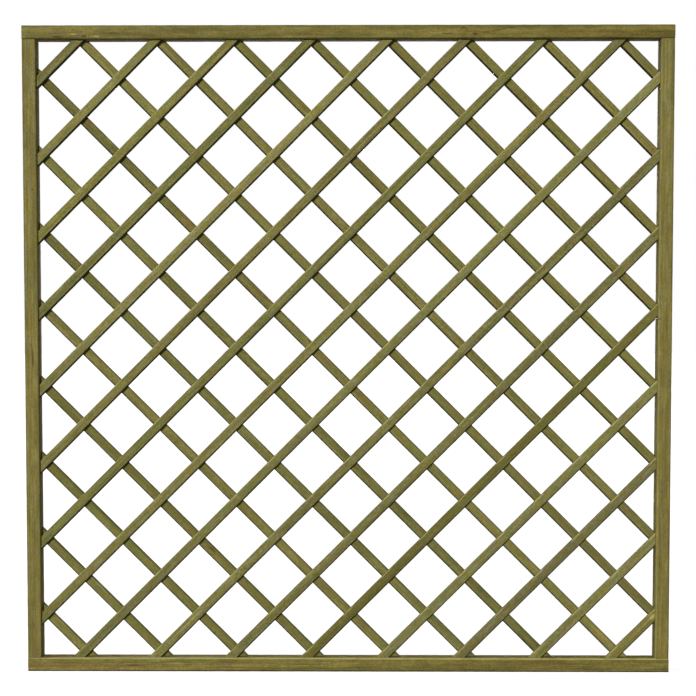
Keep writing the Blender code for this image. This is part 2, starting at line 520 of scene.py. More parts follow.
def smooth_step(value, low, high, to_low=0.0, to_high=1.0):
    plugs = {"Value": value, "From Min": low, "From Max": high, "To Min": to_low, "To Max": to_high}
    kind = "ShaderNodeMapRange"
    return add_node(value.id_data, kind, plugs, interpolation_type="SMOOTHSTEP").outputs[0]


timber = given["Timber"]
parts = parts_of(timber)
lots = parts_of(given["Lot"])
lot = times(lots["X"], lot_spread)

# How near the nearest knot is, in knot widths. Rings swell round it, less and less further off.
knot = parts_of(given["Knot"])
ragged = stretched_noise(timber, lot, 260.0, 260.0)
knot_far = plus(way_length(knot["X"], knot["Y"]), times_plus(ragged, 1.2, -0.6))
knot_stretch = way_length(times(knot["X"], knot_length_share), knot["Y"])
swell = maths("POWER", 2.718, times(maths("POWER", knot_stretch, 2.0), -0.6))

# How far the pith is. A number added to the lot reads another part of the noise.
slow = stretched_noise(timber, lot, 1.1, 6.0)
slow_2 = stretched_noise(timber, plus(lot, 7.0), 1.7, 6.0)
fine = stretched_noise(timber, lot, 9.0, 70.0)
pith_across = times(minus(lots["Y"], 0.5), pith_sideways)
pith_deep = times_plus(lots["Z"], pith_spread, pith_nearest)
off_across = minus(times_plus(minus(slow, 0.5), given["Wander"], parts["Y"]), pith_across)
off_deep = minus(times_plus(minus(slow_2, 0.5), given["Wander"], parts["Z"]), pith_deep)
from_pith = times_plus(minus(fine, 0.5), ring_shake, way_length(off_across, off_deep))
from_pith = times_plus(swell, ring_swell, from_pith)

# Late wood darkens slowly and stops at once. Each year has its own strength.
rings = over(from_pith, given["Ring Width"])
in_ring = maths("FRACT", rings)
late = times(smooth_step(in_ring, 0.35, 0.88), smooth_step(in_ring, 0.92, 1.0, 1.0, 0.0))
plugs = {"W": plus(maths("FLOOR", rings), lot)}
year = add_node(wood_figure, "ShaderNodeTexWhiteNoise", plugs, noise_dimensions="1D").outputs["Value"]
plug_in(
    leaving,
    {
        "Late Wood": times(late, times_plus(year, 0.6, 0.4)),
        "Fibres": stretched_noise(timber, lot, 45.0, 1500.0, 3.0, 0.6),
        "Streaks": stretched_noise(timber, plus(lot, 3.0), 3.5, 130.0, 3.0),
        "Blotches": stretched_noise(timber, plus(lot, 17.0), 24.0, 75.0),
        "Mottle": stretched_noise(timber, plus(lot, 41.0), 185.0, 380.0),
        "Knot Core": smooth_step(knot_far, 0.70, 1.15, 1.0, 0.0),
        "Knot Halo": smooth_step(knot_stretch, 0.4, 2.0, 1.0, 0.0),
    },
)
print("wood figure:", len(wood_figure.nodes), "nodes")

# %% [markdown]
# ## The preservative
#
# The green treatment is forced in under pressure and dries unevenly. Within a few centimetres the
# timber drifts from olive green to olive brown and from clear to dusty grey. Some streaks stay
# reddish where resin kept the liquid out, and others dry pale. Each is a mask from 0 to 1, made
# from one stretched noise cut off at its own threshold.

# %% Build the preservative group
# A step in the noise, the scales along and across the grain, the detail, and the low and high
# edges of the threshold. The first four masks stretch further on the frame.
preservative_masks = {
    "Green": (0.0, 30.0, 70.0, 3.0, 0.36, 0.64),
    "Grey": (53.0, 75.0, 110.0, 2.0, 0.36, 0.66),
    "Resin": (11.0, 18.0, 90.0, 2.0, 0.58, 0.72),
    "Warm": (83.0, 14.0, 140.0, 2.0, 0.47, 0.60),
    "Pale": (23.0, 9.0, 150.0, 3.0, 0.57, 0.74),
    "Specks": (31.0, 130.0, 330.0, 1.0, 0.66, 0.76),
    "Flecks": (67.0, 120.0, 300.0, 1.0, 0.66, 0.77),
}
long_masks = ("Green", "Grey", "Resin", "Warm")
preservative, given, leaving = new_group(
    "Preservative",
    "ShaderNodeTree",
    {"Vector": "Timber, Lot", "Float": "Shortening"},
    {"Float": ", ".join(preservative_masks)},
)
lot = times(parts_of(given["Lot"])["X"], lot_spread)
shortening = vector_of(given["Shortening"], 1.0, 1.0)
shortened = vector_maths("MULTIPLY", given["Timber"], shortening)[0]
for name, (step, along_scale, cross_scale, detail, low, high) in preservative_masks.items():
    place = shortened if name in long_masks else given["Timber"]
    noise = stretched_noise(place, plus(lot, step), along_scale, cross_scale, detail)
    plug_in(leaving, {name: smooth_step(noise, low, high)})
print("preservative:", len(preservative.nodes), "nodes")

# %% [markdown]
# ## Wear and painted highlight on the arrises, painted shade on the sides
#
# Handling and weather rub the rounded edges, which shows paler wood. The same paleness, made
# stronger on the edges and front lips that face the light, is also a painted highlight. The narrow
# sides that face down are darkened as painted shade. The group works out how far a point is from
# the nearest arris and from the side, from its place in the timber and the timber's own width and
# thickness, and breaks both up with noise.

# %% Build the edge masks group
edge_masks, given, leaving = new_group(
    "Edge masks",
    "ShaderNodeTree",
    {"Vector": "Timber, Lot", "Float": "Width, Thickness, Reach"},
    {"Float": "Rubbed, Side"},
)
# Lengths over which each mask fades, in metres.
lit_lip_depth = (0.0015, 0.0030)
lit_lip_forward = (0.0070, 0.0115)
side_shade_depth = (0.0018, 0.0052)
deep_side = (0.006, 0.014)

parts = parts_of(given["Timber"])
from_side = minus(times(given["Width"], 0.5), unsigned(parts["Y"]))
from_face = minus(times(given["Thickness"], 0.5), unsigned(parts["Z"]))
lot = times(parts_of(given["Lot"])["X"], lot_spread)
broken = stretched_noise(given["Timber"], lot, 30.0, 90.0, 3.0)
reach = times(given["Reach"], times_plus(broken, 1.6, 0.2))
# Pale rubbed arrises, partly wear and partly a painted highlight.
near = minus(1.0, over(larger(from_side, from_face), reach), clamp=True)
# The lip of a side face in front of the lattice is painted paler as well, a painted highlight where the
# light reaches it before the lattice shades the rest.
on_side = smooth_step(from_side, *lit_lip_depth, 1.0, 0.0)
forward = smooth_step(times(parts["Z"], -1.0), *lit_lip_forward)
lit_lip = times(times(times(on_side, forward), 0.75), smooth_step(broken, 0.30, 0.55, 0.5, 1.0))
# Painted shade darkens the narrow sides, broken up a little by noise.
side_shade = smooth_step(from_side, *side_shade_depth, 1.0, 0.0)
side_shade = times(side_shade, smooth_step(broken, 0.30, 0.60, 1.0, 0.75))
# On deep side faces the painted shade stays near their arrises.
side_shade = times(side_shade, smooth_step(from_face, *deep_side, 1.0, 0.3))
plug_in(leaving, {"Rubbed": larger(near, lit_lip), "Side": side_shade})
print("edge masks:", len(edge_masks.nodes), "nodes")

# %% [markdown]
# ## Two timber finishes
#
# The frame and the slats are cut from the same softwood and treated together, so both finishes
# come from one function. They differ in size, in colour, in how wide the rings are and in how
# strong each effect is. The shader stays in the material itself, and the groups only feed its
# colour, roughness and bump.

# %% Mix two colours by a share, and start a material
def mix_colours(share, first, second, blend="MIX"):
    options = {"data_type": "RGBA", "blend_type": blend, "clamp_result": False}
    mixed = add_node(tree_of((share, first)), "ShaderNodeMix", **options)
    sockets = {socket.identifier: socket for socket in mixed.inputs}
    plug_in(sockets, {"Factor_Float": share, "A_Color": first, "B_Color": second})
    return next(socket for socket in mixed.outputs if socket.identifier == "Result_Color")


def tint(colour, mask, strength, second):
    return mix_colours(times(mask, strength), colour, second)


def new_material(name):
    """A material, its tree and the inputs of its shader."""
    material = bpy.data.materials.new(name)
    material.use_nodes = True
    tree = material.node_tree
    return material, tree, tree.nodes["Principled BSDF"].inputs


# %% Colour the wood and the preservative
def treated_colour(looks, hue, tone, contrast, figure, patches):
    """The colour of a timber before its marks, knots and edges."""
    hue = parts_of(hue)
    green_share = times_plus(patches["Green"], 0.55, hue["X"], clamp=True)
    colour = mix_colours(green_share, looks["brown"], looks["green"])
    colour = tint(colour, times(patches["Grey"], hue["Y"]), looks["grey"], dusty_grey)
    colour = tint(colour, patches["Resin"], looks["resin"], fox_brown)
    colour = tint(colour, patches["Warm"], hue["Z"], fox_brown)
    colour = tint(colour, patches["Pale"], looks["pale"], straw)
    colour = tint(colour, figure["Late Wood"], looks["late wood"], late_wood_brown)

    level = 1.0
    for noise in ("Streaks", "Blotches", "Mottle"):
        swing = looks[noise.lower()]
        level = times(level, smooth_step(figure[noise], 0.30, 0.70, 1.0 - swing, 1.0 + swing))
    level = times(level, smooth_step(figure["Fibres"], 0.3, 0.7, 0.93, 1.07))
    level = times(times_plus(minus(level, 1.0), contrast, 1.0), tone)
    return mix_colours(1.0, colour, vector_of(level, level, level), blend="MULTIPLY")


def with_marks(colour, mark, blotches):
    """The colour with the placed marks on it, ragged by a noise.

    A mark says how far off it is, in its own lengths and widths, and how dark or pale it is."""
    mark = parts_of(mark)
    marked = smooth_step(way_length(mark["X"], mark["Y"]), 0.35, 1.0, 1.0, 0.0)
    marked = times(marked, smooth_step(blotches, 0.30, 0.60, 0.5, 1.0))
    colour = tint(colour, marked, larger(mark["Z"], 0.0), knot_brown)
    return tint(colour, marked, larger(times(mark["Z"], -1.0), 0.0), straw)


# %% Make a treated timber material
timber_gloss = 0.12
halo_strength = 0.14
core_strength = 0.75
bump_height = 0.0006


def timber_material(name, looks):
    material, tree, shader = new_material(name)

    def stored(output, *attributes):
        for attribute in attributes:
            yield add_node(tree, "ShaderNodeAttribute", attribute_name=attribute).outputs[output]

    timber, knot, lot, mark, hue = stored("Vector", "timber", "knot", "lot", "mark", "hue")
    tone, contrast, wear_and_highlight, side_shade = stored("Fac", "tone", "contrast", "wear_and_highlight", "side_shade")
    plugs = {"Timber": timber, "Lot": lot}
    rings = {"Knot": knot, "Ring Width": looks["ring width"], "Wander": looks["wander"]}
    figure = use_group(tree, wood_figure, plugs | rings)
    patches = use_group(tree, preservative, plugs | {"Shortening": looks["shortening"]})
    edge = {"Width": looks["width"], "Thickness": looks["thickness"], "Reach": looks["rub reach"]}
    edges = use_group(tree, edge_masks, plugs | edge)

    colour = treated_colour(looks, hue, tone, contrast, figure, patches)
    colour = with_marks(colour, mark, figure["Blotches"])
    colour = tint(colour, figure["Knot Halo"], halo_strength, fox_brown)
    colour = tint(colour, figure["Knot Core"], core_strength, knot_brown)
    colour = tint(colour, patches["Specks"], looks["specks"], late_wood_brown)
    colour = tint(colour, patches["Flecks"], looks["flecks"], fleck_yellow)
    # Pale rubbed arrises and lips, partly wear and partly a painted highlight.
    colour = tint(colour, edges["Rubbed"], wear_and_highlight, straw)
    # Painted shade on the narrow sides, darkest on those that face down.
    colour = tint(colour, edges["Side"], side_shade, side_shade_brown)

    rough = smooth_step(figure["Fibres"], 0.2, 0.8, 0.78, 0.92)
    rough = times_plus(figure["Knot Core"], -0.20, rough)
    height = times(figure["Late Wood"], 0.5)
    for bump, rise in (("Fibres", 0.35), ("Mottle", 0.5), ("Knot Core", -0.6)):
        height = times_plus(figure[bump], rise, height)
    plugs = {"Height": height, "Strength": 0.6, "Distance": bump_height}
    bumps = add_node(tree, "ShaderNodeBump", plugs)
    plug_in(shader, {"Base Color": colour, "Roughness": rough, "Normal": bumps})
    plug_in(shader, {"Specular IOR Level": timber_gloss})
    return material


# %% Make the frame's finish and the slats' finish
# Each line gives the frame's value and the slats' value.
timber_looks = {
    "width": (frame_face, slat_width),
    "thickness": (frame_depth, slat_thickness),
    "brown": (frame_brown, slat_brown),
    "green": (frame_green, slat_green),
    "ring width": (0.0042, 0.0034),
    "wander": (0.030, 0.026),
    "rub reach": (0.0024, 0.0030),
    "shortening": (0.25, 1.0),
    "grey": (0.22, 0.50),
    "resin": (0.18, 0.22),
    "pale": (0.25, 0.30),
    "late wood": (0.36, 0.30),
    "streaks": (0.20, 0.18),
    "blotches": (0.15, 0.10),
    "mottle": (0.21, 0.25),
    "specks": (0.30, 0.32),
    "flecks": (0.26, 0.34),
}
finishes = []
for column, name in enumerate(("treated frame timber", "treated slat timber")):
    finishes.append(timber_material(name, {look: pair[column] for look, pair in timber_looks.items()}))
frame_finish, slat_finish = finishes
print("timber finishes:", frame_finish.name, "and", slat_finish.name)

# %% [markdown]
# ## Knots, marks and lots
#
# No two timbers in a panel come from the same tree. Each piece gets a lot, three random numbers
# that move its pith and its noise. A tone makes it lighter or darker than its neighbours, a hue
# greener, dustier or warmer, and a contrast calmer or livelier. Knots and marks are placed along
# it: a few at random on the slats, and listed one by one where the real one shows the plainest.
# Each point remembers the way to the nearest of them, how pale its arrises are, partly from wear
# and partly as a painted highlight, and how much painted shade darkens its sides.

# %% Store the looks of a timber at its points
nothing_near = (40.0, 0.0, 0.0)


def read_all(items, field, kind=np.float32, size=1):
    values = np.empty(len(items) * size, kind)
    items.foreach_get(field, values)
    return values.reshape(-1, size) if size > 1 else values


def timber_places(piece):
    return read_all(piece.data.attributes["timber"].data, "vector", size=3)


def way_to_nearest(places, spots):
    """For each point, the way to the nearest spot, counted in the spot's own length and width.

    Nearest is judged along the timber alone, so that all the points of a ring agree."""
    ways = np.tile(np.array(nothing_near, np.float32), (len(places), 1))
    best = np.full(len(places), nothing_near[0])
    for along, across, length, width, strength in spots:
        way = np.zeros_like(places)
        way[:, 0] = (places[:, 0] - along) / length
        way[:, 1] = (places[:, 1] - across) / width
        way[:, 2] = strength
        far = np.abs(way[:, 0])
        closer = far < best
        ways[closer] = way[closer]
        best[closer] = far[closer]
    return ways


def mark_timber(piece, lot, tone, hue, wear_and_highlight, side_shade, contrast=1.0, knots=(), marks=()):
    """Knots are (along, across, radius) and marks (along, across, length, width, darkness).

    Hue is how green, how dusty and how warm the timber is. Tone and hue are given for the low and
    the high end along it. The paleness of the arrises, partly wear and partly a painted highlight,
    and the painted shade on the sides are given for the low and the high side across it. Contrast is
    how strongly the streaks, the mottle and the fibres show."""
    places = timber_places(piece)
    knot_spots = [(along, across, radius, radius, 0.0) for along, across, radius in knots]
    ends = places[:, 0].min(), places[:, 0].max()

    def between_ends(low, high):
        return np.interp(places[:, 0], ends, (low, high))

    high_side = places[:, 1] > 0
    looks = {
        "knot": way_to_nearest(places, knot_spots),
        "mark": way_to_nearest(places, marks),
        "lot": np.tile(lot, (len(places), 1)),
        "hue": np.stack([between_ends(*pair) for pair in zip(*hue)], 1),
        "tone": between_ends(*tone),
        "contrast": np.full(len(places), contrast),
        "wear_and_highlight": np.where(high_side, wear_and_highlight[1], wear_and_highlight[0]),
        "side_shade": np.where(high_side, side_shade[1], side_shade[0]),
    }
    for name, values in looks.items():
        kind, field = ("FLOAT", "value") if values.ndim == 1 else ("FLOAT_VECTOR", "vector")
        stored = piece.data.attributes.new(name, kind, "POINT").data
        stored.foreach_set(field, values.astype(np.float32).ravel())


# %% [markdown]
# ## Cut the slats
#
# Sixteen slats lean right in the front layer and sixteen lean left behind them. Each is one run
# of the slat tree with its own crossing point, bow and seed.

# %% Say how the slats differ
slat_bow = 0.0010
slat_wear = 0.00022
calm, lively = 0.60, 1.05
slat_dice = random.Random(21)
# Across a front slat the high side faces up and left. Across a back slat it faces down and left.
# On each slat the darkening of the sides is painted shade, strongest on the side that faces down, and
# the paleness of the arris is partly wear and partly a painted highlight, stronger on the side that
# faces up.
front_edges = {"wear_and_highlight": (0.05, 0.25), "side_shade": (1.7, 0.25)}
back_edges = {"wear_and_highlight": (0.10, 0.05), "side_shade": (0.40, 1.30)}
# A painted highlight on the upper arris of each front slat, where it passes over a back slat.
crossing_pitch = diamond_width / (2 * cos(slat_angle))
crossing_reach = 0.024
crossing_fade = 0.010
crossing_highlight = 1.1
slat_warmth = 0.05
tone_range = (0.93, 1.07)
tone_lean = 0.02
green_range = (0.05, 0.55)
dust_range = (0.5, 1.5)
first_knot_in = (0.1, 1.6)
knot_spacing = (0.9, 2.4)
knot_radius = (0.0012, 0.0026)
knot_off_centre = 0.40
# The plainest differences between slats. A tone is given for both ends, the low one first, which
# is the lower one on the panel in either layer.
named_tones = {
    "front_slat_02": (1.20, 1.15),
    "front_slat_03": (1.20, 1.15),
    "front_slat_05": (1.10, 1.25),
    "front_slat_09": (0.85, 1.20),
    "front_slat_10": (1.00, 0.85),
    "front_slat_11": (0.85, 0.90),
    "front_slat_12": (0.72, 0.82),
    "front_slat_13": (1.00, 1.05),
    "front_slat_14": (0.80, 0.80),
    "back_slat_01": (1.30, 1.30),
    "back_slat_07": (0.80, 1.20),
    "back_slat_08": (1.25, 0.80),
    "back_slat_09": (0.85, 1.20),
    "back_slat_15": (1.05, 1.25),
    "back_slat_16": (0.97, 0.93),
}
named_warmth = {"back_slat_08": 0.42, "front_slat_12": 0.30}
named_dust = {"front_slat_12": 0.2, "front_slat_14": 1.9, "front_slat_15": 1.3}
named_knots = {
    "front_slat_16": [(-1.1127, 0.0, 0.0022)],
    "back_slat_04": [(-0.804, -0.0040, 0.0034)],
}
named_marks = {
    "front_slat_16": [(-1.068, 0.002, 0.014, 0.007, -0.8)],
    "back_slat_04": [(-0.808, -0.0040, 0.018, 0.0045, 0.7)],
}
print("slats with a tone of their own:", len(named_tones))

# %% [markdown]
# ## A map for the slats
#
# When the looks are baked into a picture, a slat two metres long and a few centimetres round
# would take up one thin line of it. So each slat gets its own map: its skin is unrolled, cut
# into rows of equal length, and the rows are stacked so that they fill the picture. The points
# of a slat come in rings of equal count, in order along it, which makes this simple counting.

# %% Unroll a slat into rows
map_edge = 0.008
cap_strip = 0.06
row_gap = 0.012
first_cap, cap_step = 0.2, 0.5


def unroll(piece, rings, length):
    mesh = piece.data
    around = len(mesh.vertices) // rings
    rows = max(1, round((length / (2 * (slat_width + slat_thickness))) ** 0.5))
    rings_per_row = ceil((rings - 1) / rows)
    row_height = (1 - cap_strip - 2 * map_edge) / rows - row_gap
    corners = read_all(mesh.loops, "vertex_index", np.int32)
    starts = read_all(mesh.polygons, "loop_start", np.int32)
    totals = read_all(mesh.polygons, "loop_total", np.int32)
    ring, step = corners // around, corners % around

    # The last column of faces closes the ring, so its far side counts one full turn.
    spread = np.maximum.reduceat(step, starts) - np.minimum.reduceat(step, starts)
    closing = np.repeat(spread > 1, totals) & (step == 0)
    turn = (step + around * closing) / around
    first_ring = np.repeat(np.minimum.reduceat(ring, starts), totals)
    row = first_ring // rings_per_row
    u = map_edge + (1 - 2 * map_edge) * (ring - row * rings_per_row) / rings_per_row
    v = map_edge + row * (row_height + row_gap) + row_height * turn

    # The two sawn ends lie flat in a strip above the rows, at the scale of their own place.
    places = timber_places(piece)[corners]
    on_cap = np.repeat(totals == around, totals)
    cap_scale = (cap_strip - 2 * row_gap) / slat_width
    far_end = ring > 0
    facing = np.where(far_end, 1, -1)
    u = np.where(on_cap, first_cap + cap_step * far_end + cap_scale * places[:, 2] * facing, u)
    cap_low = 1 - cap_strip + row_gap - map_edge
    v = np.where(on_cap, cap_low + cap_scale * (places[:, 1] + slat_width / 2), v)
    unrolled = mesh.uv_layers.new(name="OFBake")
    unrolled.data.foreach_set("uv", np.stack((u, v), 1).astype(np.float32).ravel())


# %% Measure a slat, and paint a highlight where it passes over another
def slat_length(crossing_x, lean):
    """The length of a slat's centre line between the frame's faces."""
    slope = lean * sin(slat_angle) / cos(slat_angle)
    at_left = lattice_z + (opening_left - crossing_x) * slope
    at_right = lattice_z + (opening_right - crossing_x) * slope
    low = max(opening_bottom, min(at_left, at_right))
    high = min(opening_top, max(at_left, at_right))
    return (high - low) / sin(slat_angle)


def highlight_at_crossings(piece):
    """A painted highlight: the upper arris of a front slat is painted paler where it passes over
    another, and the painted shade on that side is taken off there.
    """
    places = timber_places(piece)
    from_crossing = np.abs(places[:, 0] - np.round(places[:, 0] / crossing_pitch) * crossing_pitch)
    share = np.clip((crossing_reach - from_crossing) / crossing_fade, 0.0, 1.0) * (places[:, 1] > 0)
    wear_and_highlight, side_shade = (piece.data.attributes[name].data for name in ("wear_and_highlight", "side_shade"))
    wear_and_highlight.foreach_set("value", read_all(wear_and_highlight, "value") + crossing_highlight * share)
    side_shade.foreach_set("value", read_all(side_shade, "value") * (1 - share))


# %% Cut one slat
def slat_knots(node_name, middle, reach):
    """The knots named for a slat, and any that chance adds along it."""
    knots = list(named_knots.get(node_name, []))
    place = -reach + slat_dice.uniform(*first_knot_in)
    while place < reach:
        across = slat_dice.uniform(-knot_off_centre, knot_off_centre) * slat_width
        knots.append((middle + place, across, slat_dice.uniform(*knot_radius)))
        place += slat_dice.uniform(*knot_spacing)
    return knots


def cut_slat(node_name, crossing_x, lean, layer_y, lot, tone, green, dust):
    length = slat_length(crossing_x, lean)
    rings = ceil(length / ring_spacing) + 1
    piece = mesh_from_tree(
        "sawn_" + node_name,
        slat_tree,
        {
            "Crossing X": crossing_x,
            "Middle Z": lattice_z,
            "Layer Y": layer_y,
            "Lean": float(lean),
            "Angle": slat_angle,
            "Left": opening_left + clearance,
            "Right": opening_right - clearance,
            "Bottom": opening_bottom + clearance,
            "Top": opening_top - clearance,
            "Width": slat_width,
            "Thickness": slat_thickness,
            "Arris Radius": slat_arris_radius,
            "Rings": rings,
            "Bow": slat_bow,
            "Wear": slat_wear,
            "Seed": lot[0] * 100,
            "Material": slat_finish,
        },
    )
    middle = float(timber_places(piece)[:, 0].mean())
    warmth = named_warmth.get(node_name, slat_warmth)
    mark_timber(
        piece,
        lot,
        tone=named_tones.get(node_name, (tone, tone)),
        hue=[(green, named_dust.get(node_name, dust), warmth)] * 2,
        contrast=calm + (lively - calm) * lot[2],
        knots=slat_knots(node_name, middle, length / 2),
        marks=named_marks.get(node_name, ()),
        **(front_edges if lean > 0 else back_edges),
    )
    if lean > 0:
        highlight_at_crossings(piece)
    unroll(piece, rings, length)
    return piece


# %% Make both layers of slats
slats = []
layers = (("front_slat", 1, front_layer_y, 0.95), ("back_slat", -1, back_layer_y, 0.50))
for layer_name, lean, layer_y, dusty in layers:
    for count in range(slats_per_layer):
        node_name = f"{layer_name}_{count + 1:02d}"
        crossing_x = lattice_x + (count - (slats_per_layer - 1) / 2) * diamond_width
        lot = (slat_dice.random(), slat_dice.random(), slat_dice.random())
        tone = slat_dice.uniform(*tone_range) - tone_lean * lean
        green = slat_dice.uniform(*green_range)
        dust = dusty * slat_dice.uniform(*dust_range)
        piece = cut_slat(node_name, crossing_x, lean, layer_y, lot, tone, green, dust)
        slats.append(piece)
        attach(piece, "root")
        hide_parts(node_name)
print("slats:", len(slats), "with", sum(len(piece.data.polygons) for piece in slats), "faces")

# %% [markdown]
# ## Drill and place the frame
#
# Each corner is held by two screws through the rail into the end of the stile. The seats for
# them are turned shapes, kept a hair wider and longer than the screw, and the tree cuts them out
# of the rails and the stiles. The seats are only a tool and are removed afterwards.

# %% A closed shape turned about an upright axis
turned_segments = 32


def turned_ring_shape(bm, profile, place, points_up):
    """Adds a closed turned shape about a vertical axis, from (radius, depth) points."""
    rings = []
    for radius, depth in profile:
        height = depth if points_up else -depth
        steps = turned_segments if radius > 0 else 1
        ring = []
        for step in range(steps):
            angle = 2 * pi * step / turned_segments
            point = (radius * cos(angle), radius * sin(angle), height)
            ring.append(bm.verts.new(place + Vector(point)))
        rings.append(ring)
    for lower, upper in zip(rings, rings[1:]):
        for step in range(turned_segments):
            after = (step + 1) % turned_segments
            corners = [lower[step % len(lower)], lower[after % len(lower)]]
            corners += [upper[after % len(upper)], upper[step % len(upper)]]
            bm.faces.new(list(dict.fromkeys(corners)))


# %% Turn the screw seats
screw_head_radius = 0.0050
screw_shank_radius = 0.0025
screw_head_rim = 0.0004
screw_head_sink = 0.0006
screw_edge_distance = 0.010
screw_length = 0.080
seat_mouth = -0.01

wide_head = screw_head_radius + clearance
wide_shank = screw_shank_radius + clearance
cone_depth = screw_head_rim + screw_head_radius - screw_shank_radius
seat_end = screw_length + clearance
seat_profile = [(0.0, seat_mouth), (wide_head, seat_mouth), (wide_head, screw_head_rim)]
seat_profile += [(wide_shank, cone_depth), (wide_shank, seat_end), (0.0, seat_end)]
left_x = (left_low.x + left_high.x) / 2
right_x = (right_low.x + right_high.x) / 2
top_heads = top_high.z - screw_head_sink
bottom_heads = bottom_low.z + screw_head_sink
outer = frame_depth / 2 - screw_edge_distance

bm = bmesh.new()
for end_x in (left_x, right_x):
    for head_z, points_up in ((top_heads, False), (bottom_heads, True)):
        for y in (-outer, outer):
            turned_ring_shape(bm, seat_profile, Vector((end_x, y, head_z)), points_up)
bmesh.ops.recalc_face_normals(bm, faces=bm.faces)
screw_seats = put_in_scene("screw_seats", bpy.data.meshes.new("screw_seats"))
bm.to_mesh(screw_seats.data)
bm.free()
print("screw seats:", len(screw_seats.data.polygons), "faces")

# %% Cut one rail or stile
frame_wear = 0.00025
end_ease = 0.0006


def cut_frame_timber(node_name, lot, **looks):
    low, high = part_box(node_name)
    size = high - low
    length = max(size.x, size.z)
    upright = size.z > size.x
    piece = mesh_from_tree(
        "planed_" + node_name,
        frame_tree,
        {
            "Middle": (low + high) / 2,
            "Turn": -pi / 2 if upright else 0.0,
            "Length": length,
            "Width": min(size.x, size.z),
            "Thickness": size.y,
            "Arris Radius": frame_arris_radius,
            "End Ease": end_ease,
            "Rings": ceil(length / ring_spacing) + 1,
            "Wear": frame_wear,
            "Seed": lot[0] * 100,
            "Seats": screw_seats,
            "Material": frame_finish,
        },
    )
    mark_timber(piece, lot, **looks)
    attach(piece, "root")
    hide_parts(node_name)
    return piece


# %% Say how the rails and stiles differ
# Places are in each timber's own metres from its middle. The high side is up on a rail and left
# on a stile.
# Paler edges and lips are partly wear and partly a painted highlight, strongest on the top of the bottom
# rail. Darker sides are painted shade, strongest under the bottom rail.
frame_timbers = {
    "top_rail": {
        "lot": (0.31, 0.62, 0.45),
        "tone": (1.05, 0.83),
        "hue": ((0.40, 1.5, 0.04), (0.32, 0.0, 0.06)),
        "wear_and_highlight": (0.10, 0.45),
        "side_shade": (0.60, 0.60),
        "knots": [(0.3505, -0.0070, 0.0044)],
        "marks": [
            (-0.8, -0.013, 0.024, 0.005, 0.75), (-0.757, -0.0065, 0.012, 0.0032, -0.8),
            (-0.727, -0.012, 0.01, 0.0034, 1.0), (-0.692, -0.012, 0.018, 0.0032, -0.7),
            (-0.655, -0.003, 0.03, 0.0026, 0.6), (0.275, -0.0055, 0.022, 0.0026, 0.75),
            (0.318, 0.0105, 0.01, 0.0032, 0.8), (0.3505, -0.007, 0.012, 0.0034, 1.0),
            (0.38, -0.002, 0.016, 0.0024, 0.7), (0.412, 0.004, 0.018, 0.0024, 0.75),
            (0.448, 0.0105, 0.022, 0.0026, 0.75),
        ],
    },
    "bottom_rail": {
        "lot": (0.77, 0.02, 0.20),
        "tone": (1.12, 0.85),
        "hue": ((0.60, 1.0, 0.52), (0.70, 0.0, 0.30)),
        "wear_and_highlight": (0.0, 1.0),
        "side_shade": (2.2, 0.0),
        "knots": [(0.22, 0.006, 0.002)],
        "marks": [
            (-0.79, 0.006, 0.08, 0.0024, 0.4), (-0.6, -0.001, 0.036, 0.004, 0.75),
            (-0.48, 0.005, 0.06, 0.0024, -0.45), (-0.33, -0.006, 0.07, 0.0024, 0.5),
            (-0.12, 0.002, 0.09, 0.0026, 0.45), (0.3, -0.012, 0.22, 0.003, 0.45),
        ],
    },
    "left_stile": {
        "lot": (0.12, 0.90, 0.50),
        "tone": (1.00, 1.05),
        "hue": ((0.34, 1.4, 0.08), (0.40, 2.0, 0.04)),
        "wear_and_highlight": (0.15, 0.20),
        "side_shade": (0.10, 0.55),
        "knots": [(0.45, -0.008, 0.002)],
        "contrast": 0.75,
        "marks": [(-0.02, -0.004, 0.04, 0.003, 0.9), (0.3, 0.009, 0.25, 0.003, 0.3)],
    },
    "right_stile": {
        "lot": (0.53, 0.30, 0.30),
        "tone": (0.99, 1.04),
        "hue": ((0.30, 0.9, 0.12), (0.40, 1.9, 0.04)),
        "wear_and_highlight": (0.15, 0.25),
        "side_shade": (0.50, 0.0),
        "knots": [(0.091, 0.0165, 0.0036)],
        "contrast": 0.75,
        "marks": [(-0.595, 0.01, 0.014, 0.003, 0.45), (-0.3, -0.002, 0.2, 0.004, 0.35)],
    },
}
print("marks on the frame:", sum(len(choices["marks"]) for choices in frame_timbers.values()))

# %% Make the rails and stiles
timbers = [cut_frame_timber(name, **choices) for name, choices in frame_timbers.items()]
bpy.data.objects.remove(screw_seats)
print("frame timbers:", [len(piece.data.polygons) for piece in timbers], "faces")

# %% [markdown]
# ## Steel
#
# Outdoor screws and staples are plated. The plating is a warm grey with a soft shine, duller
# where the salts of the preservative have touched it.

# %% Make the plated steel material
plating = linear(168, 160, 134)
dull_plating = linear(104, 94, 72)
plated_steel, tree, shader = new_material("plated steel")
room_place = add_node(tree, "ShaderNodeTexCoord").outputs["Object"]
plugs = {"Vector": room_place, "Scale": 420.0, "Detail": 4.0, "Roughness": 0.6}
tarnish = add_node(tree, "ShaderNodeTexNoise", plugs).outputs["Fac"]
steel_colour = mix_colours(smooth_step(tarnish, 0.42, 0.66), plating, dull_plating)
rough = smooth_step(tarnish, 0.3, 0.7, 0.30, 0.55)
bumps = add_node(tree, "ShaderNodeBump", {"Height": tarnish, "Strength": 0.25, "Distance": 0.0001})
plug_in(shader, {"Base Color": steel_colour, "Roughness": rough, "Metallic": 1.0, "Normal": bumps})
screws = [node for name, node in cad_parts.items() if "_screw_" in name]
for node in screws:
    node.data.materials.clear()
    node.data.materials.append(plated_steel)
print("plated screws:", len(screws))

